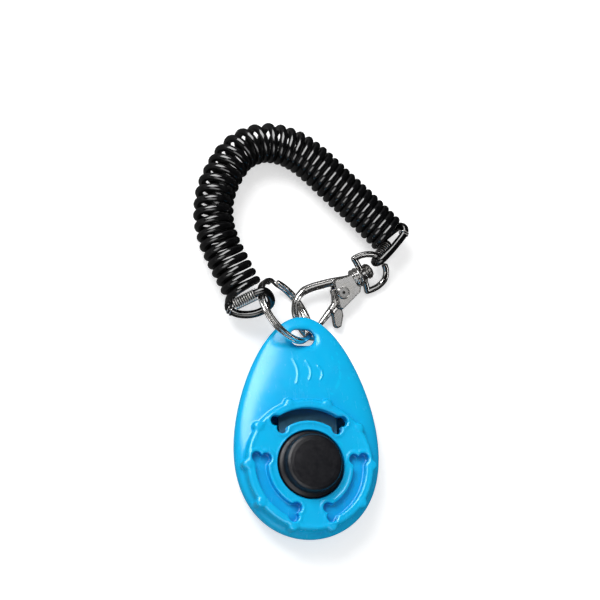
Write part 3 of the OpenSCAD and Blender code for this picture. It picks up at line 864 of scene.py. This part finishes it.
# tables below are x, y (and z)
DEE_ARC = spline([
    [-0.6, -5.75, 0], [-2.65, -5.56, 0], [-5.09, -4.65, 0], [-6.82, -3.37, 0],
    [-8.19, -1.21, 0], [-8.66, 1.49, 0], [-8.25, 3.6, 0], [-6.89, 5.33, 0],
    [-4.56, 6.0, 0], [-2.37, 5.9, 0], [-0.65, 5.45, 0]], 3)
DEE_BAR = [[-0.95, 3.6, 0], [-1, 2, 0], [-1, -2, 0], [-0.85, -4, 0], [-0.6, -5.75, 0]]
HOOK_LINE = spline([
    [3.2, -0.9, 0], [6.3, -2.1, 0], [9.0, -3.1, 0], [11.4, -3.8, 0], [14.4, -4.6, 0],
    [17.4, -4.85, 0], [20.3, -3.7, 0], [22.2, -1.3, 0], [23.0, 1.3, 0], [23.25, 4.0, 0],
    [22.8, 6.4, 0], [21.5, 7.9, 0], [19.9, 7.8, 0]], 4)
GATE_ARM = spline([[10.6, 3.2, 0], [13.6, 4.3, 0], [16.6, 5.4, 0], [18.8, 6.15, 0]], 3)
CHEEK = [[1.8, -1.4], [3.0, -1.8], [7.9, -2.9], [8.4, -2.2], [10.6, 4.6], [10.0, 5.4],
         [2.7, 3.8], [1.8, 2.6]]
LEVER = [[5.4, 0.8], [6.2, -0.2], [8.4, -0.9], [9.8, -1.0], [10.2, 0.6], [11.3, 2.6],
         [12.8, 3.5], [12.9, 4.8], [14.3, 8.2], [14.1, 9.0], [13.5, 9.5], [12.5, 9.5],
         [10.3, 7.1], [9.4, 4.4], [6.6, 3.4], [5.5, 2.4]]


def hook_axes(roll):
    heading, dip, roll = HOOK_HEADING, HOOK_DIP, radians(roll)
    x_axis = np.array([cos(heading) * cos(dip), sin(heading) * cos(dip), -sin(dip)])
    level = np.array([-sin(heading), cos(heading), 0])
    y_axis = cos(roll) * level + sin(roll) * np.cross(x_axis, level)
    return x_axis, y_axis, np.cross(x_axis, y_axis)


def place(ob, roll):
    """Move a mesh from the hook's frame to the CAD's, with its shading normals."""
    axes = hook_axes(roll)
    normals = np.array([n.vector[:] for n in ob.data.corner_normals])
    ob.data.transform(pose(*axes, HOOK_ORIGIN))
    normals = normals @ np.array(axes)
    ob.data.normals_split_custom_set([tuple(n) for n in normals])


def dee(x, y, z):
    """D-shaped wire whose straight bar swells into a bored hub."""
    radius = np.sqrt(y * y + z * z)
    wire = rod_distance(x, y, z, list(DEE_ARC) + DEE_BAR, 0.9)
    hub = soft_max(soft_max(np.abs(x + 1.0) - 0.85, radius - 2.15, 0.5), -x - 2.0, 0.1)
    return soft_max(soft_min(wire, hub, 0.8), 1.26 - radius, 0.15)


def hook_radii():
    """Wire radius along the hook: thinner round the bend and at the tip."""
    radii = []
    for i, (x, y, _) in enumerate(HOOK_LINE):
        bend = 0.2 * float(smoothstep(16.5, 19, x))
        rise = 0.1 * float(smoothstep(-1, 2, y)) if x > 18 else 0
        tip = 0.1 * float(smoothstep(0.9, 1, i / (len(HOOK_LINE) - 1)))
        radii.append(1.2 - bend - rise - tip)
    return radii


def hook_body(x, y, z):
    cheeks = soft_max(polygon_distance(x, y, CHEEK), np.abs(z) - 2.2, 0.35)
    # swivel collar with two beads
    radius = np.sqrt(y * y + z * z)
    collar = soft_max(radius - 2.6, np.abs(x - 1.1) - 1.12, 0.3)
    beads = soft_min(np.hypot(x - 0.42, radius - 2.62) - 0.38,
                     np.hypot(x - 1.65, radius - 2.7) - 0.32, 0.1)
    collar = soft_min(collar, beads, 0.15)
    hook = rod_distance(x, y, z * 0.93, HOOK_LINE, hook_radii())
    f = soft_min(soft_min(cheeks, collar, 0.5), hook, 0.6)
    # slot for the gate between the cheeks, then the swivel's bore
    slot = soft_max(soft_max(np.abs(z) - 1.08, 4.4 - x, 0.3), -1.7 - y, 0.3)
    f = carve(f, soft_max(slot, x - 12.6, 0.3), 0.2)
    f = carve(f, soft_max(radius - 1.24, x - 2.25, 0.1), 0.1)
    # raised ring round the pin hole on each cheek
    from_pin = np.hypot(x - PIVOT[0], y - PIVOT[1])
    f = soft_min(f, np.hypot(from_pin - 1.5, np.abs(z) - 2.16) - 0.26, 0.12)
    return soft_max(f, 0.83 - from_pin, 0.1)


def gate(x, y, z):
    lever = soft_max(polygon_distance(x, y, LEVER), np.abs(z) - 0.95, 0.45)
    # the arm thins towards the hook's tip
    radii = [1.0 - 0.12 * float(smoothstep(13.5, 16, p[0]))
             - 0.24 * float(smoothstep(16, 18.8, p[0])) for p in GATE_ARM]
    f = soft_min(lever, rod_distance(x, y, z, GATE_ARM, radii), 0.7)
    # pin hole, and a wider recess above mid-thickness
    from_pin = np.hypot(x - PIVOT[0], y - PIVOT[1])
    f = soft_max(f, 0.88 - from_pin, 0.1)
    return carve(f, soft_max(from_pin - 1.45, 0.05 - z, 0.1), 0.15)


def pin_metal():
    """Turned pin whose end is painted near black round its axis, as the painted shade of a
    small pit, inside a bright ring.
    """
    s = plated("turned_steel_pin", tone=(0.55, 0.545, 0.54), rough=(0.18, 0.28),
               lines=(0.4, 0.4, 4.0))
    x_axis, y_axis, z_axis = hook_axes(HOOK_ROLL)
    centre = HOOK_ORIGIN + PIVOT[0] * x_axis + PIVOT[1] * y_axis
    # distance from the pin's axis
    offset = s.vector("SUBTRACT", s.coords, tuple(centre)).outputs[0]
    across = s.vector("CROSS_PRODUCT", offset, tuple(z_axis)).outputs[0]
    radius = s.vector("LENGTH", across).outputs["Value"]
    # painted shade: the end is darkened close to the pin's axis
    end_pit_shade = s.color_ramp(radius, [(0.36, (0.03, 0.03, 0.03)), (0.56, (1, 1, 1))])
    metal = s.shader.inputs["Base Color"].links[0].from_socket
    s.set("Base Color", s.mix(1.0, metal, end_pit_shade, blend="MULTIPLY"))
    return s


PIN = pin_metal()
# mesh name, field, low and high corner, cell, roll, surface, part, slot, CAD node
CLASP = [
    ("dee_with_swivel_bar", dee, (-10.6, -7.6, -2.6), (0.4, 7.0, 2.6), 0.13,
     DEE_ROLL, DEE, "dee", "dee_nickel", "d_ring"),
    ("snap_hook_casting", hook_body, (-0.6, -6.2, -2.7), (24.8, 10.0, 2.7), 0.13,
     HOOK_ROLL, HOOK, "snap", "clasp_nickel", "clasp_body"),
    ("gate_lever", gate, (4.8, -1.8, -1.3), (20.8, 10.2, 1.3), 0.12,
     HOOK_ROLL, GATE, "gate", "gate_nickel", "clasp_gate")]


def build_clasp():
    for name, field, low, high, cell, roll, surface, part, slot, node in CLASP:
        ob = field_solid(name, field, low, high, cell)
        place(ob, roll)
        finish(ob, surface, part, node)


build_shells()
build_button()
build_ring()
build_cord()
build_bindings()
build_clasp()

# CAD solids that are kept take the detailed materials
for node, surface in (("click_plate", PLATE), ("swivel_rivet", RIVET), ("gate_pin", PIN),
                      ("gate_spring", SPRING)):
    materials = frame["nodes"][node].data.materials
    materials.clear()
    materials.append(surface.material)


# ------------------------------------------------------------------
# floor
# ------------------------------------------------------------------
def floor_disc():
    count, radii, middle_y, level = 96, (150, 400, 1000, 2500, 6000), 35, -0.02
    verts = [(0, 0, level)]
    for radius in radii:
        for i in range(count):
            angle = 2 * pi * i / count
            verts.append((radius * cos(angle), radius * sin(angle) + middle_y, level))
    faces = [(0, 1 + i, 1 + (i + 1) % count) for i in range(count)]
    for ring in range(len(radii) - 1):
        for i in range(count):
            a, b = 1 + ring * count + i, 1 + ring * count + (i + 1) % count
            faces.append((a, a + count, b + count, b))
    return new_object("studio_floor", verts, faces)


def floor_paper():
    s = Surface("studio_floor_paper")
    tone = s.noise(scale=0.02, between=(0.3, 0.7))
    s.set("Base Color", s.mix(tone, (0.72, 0.72, 0.725), (0.75, 0.75, 0.75)))
    s.set("Roughness", s.noise(scale=0.5, between=(0.3, 0.7), to=(0.75, 0.9)))
    s.relief(s.noise(scale=2.0, rough=0.6), strength=0.1, depth=0.01)
    s.set("Emission Color", (1.0, 1.0, 1.0))
    s.set("Emission Strength", 0.52)
    return s


floor = floor_disc()
floor.data.materials.append(floor_paper().material)
# the floor takes shadows but is left out of mirrors and of bounced light
floor.visible_glossy = False
floor.visible_diffuse = False

# ------------------------------------------------------------------
# lights
# ------------------------------------------------------------------
metal = bpy.data.collections.new("plated_parts")
plain = bpy.data.collections.new("plain_parts")
PLATED_NAMES = ("ring_wire", "dee_with", "snap_hook", "gate_lever", "eye_binding", "gate_pin",
                "swivel_rivet", "gate_spring")
for ob in scene.objects:
    if ob.type == "MESH":
        shiny = any(part in ob.name for part in PLATED_NAMES)
        (metal if shiny else plain).objects.link(ob)

LIGHT_TARGET, LIGHT_DISTANCE = (0.0, 0.035, 0.006), 0.75     # metres
# Some softboxes only light and some are only mirrored. The panels give the
# plated parts their light and dark bands.
# name, azimuth, elevation (degrees), width, height (m), power (W), rays off, receivers
LIGHTS = [
    ("key_left", 132, 48, 0.36, 0.36, 4.0, "glossy", None),
    ("sheen_left", 131, 44, 0.72, 0.58, 12.5, "diffuse", plain),
    ("sheen_front", 238, 38, 0.60, 0.46, 3.0, "diffuse", plain),
    ("fill_low", 255, 7, 0.40, 0.16, 0.55, "glossy", plain),
    ("panel_above", 30, 66, 0.40, 0.40, 0.46, "diffuse", metal),
    ("panel_left", 134, 46, 0.20, 0.30, 2.2, "diffuse", metal),
    ("panel_right", 340, 28, 0.08, 0.5, 0.55, "diffuse", metal),
    ("panel_back", 78, 24, 0.5, 0.08, 0.55, "diffuse", metal),
    ("panel_low", 210, 20, 0.5, 0.08, 0.55, "diffuse", metal)]

for name, azimuth, elevation, width, height, power, rays_off, receivers in LIGHTS:
    light = bpy.data.lights.new(name, "AREA")
    light.shape = "RECTANGLE"
    light.size, light.size_y = width, height
    light.energy = power
    ob = bpy.data.objects.new(name, light)
    a, b = radians(azimuth), radians(elevation)
    away = (cos(b) * cos(a), cos(b) * sin(a), sin(b))
    ob.location = [t + LIGHT_DISTANCE * q for t, q in zip(LIGHT_TARGET, away)]
    ob.rotation_euler = (-Vector(away)).to_track_quat("-Z", "Y").to_euler()
    scene.collection.objects.link(ob)
    setattr(ob, "visible_" + rays_off, False)
    if receivers is not None:
        ob.light_linking.receiver_collection = receivers

world = bpy.data.worlds.new("studio") if scene.world is None else scene.world
scene.world = world
world.use_nodes = True
world.node_tree.nodes.clear()
sky = Graph(world.node_tree)


def background(color, strength=1.0):
    inputs = {"Color": color, "Strength": strength}
    return sky.node("ShaderNodeBackground", inputs).outputs[0]


def switch(ray, otherwise, when):
    factor = sky.node("ShaderNodeLightPath").outputs[ray]
    return sky.node("ShaderNodeMixShader", {0: factor, 1: otherwise, 2: when}).outputs[0]


generated = sky.node("ShaderNodeTexCoord").outputs["Generated"]
direction = sky.node("ShaderNodeSeparateXYZ", {0: generated}).outputs
# soft light from above, less from below
ambient = sky.ramp(direction["Z"], between=(-0.25, 0.45), to=(0.36, 0.50), curve="LINEAR")
# mirrors see a dark room with a pale band low down, fading towards +X
band_greys = ((0.10, 0.28), (0.24, 0.20), (0.36, 0.03), (0.60, 0.006))
room = sky.color_ramp(direction["Z"], [(0.0, (0.12, 0.12, 0.12)),
                                       *((at, (v, v, v * 1.02)) for at, v in band_greys),
                                       (1.0, (0.004, 0.004, 0.004))])
fade = sky.ramp(direction["X"], between=(-0.2, 0.5), to=(1.0, 0.08), curve="LINEAR")
unseen = switch("Is Glossy Ray", background(ambient), background(room, fade))
seen = switch("Is Camera Ray", unseen, background((0.93, 0.935, 0.94)))
sky.node("ShaderNodeOutputWorld", {"Surface": seen})

scene.view_settings.view_transform = "Standard"
scene.view_settings.look = "None"
scene.view_settings.exposure = 0.0
scene.view_settings.gamma = 1.0

# ------------------------------------------------------------------
# camera
# ------------------------------------------------------------------
CAMERA_PLACE = np.array([-215.66, -124.34, 689.94])
backward = unit([-0.29296, -0.23401, 0.92705])
right = np.array([0.95561, -0.03996, 0.29191])
right = unit(right - backward * float(right @ backward))
lens = bpy.data.cameras.new("photo_camera")
lens.sensor_width = 36.0
lens.lens = 154.932
lens.clip_start = 0.01
lens.clip_end = 50
camera = bpy.data.objects.new("photo_camera", lens)
scene.collection.objects.link(camera)
camera.matrix_world = pose(right, np.cross(backward, right), backward, CAMERA_PLACE)
scene.camera = camera
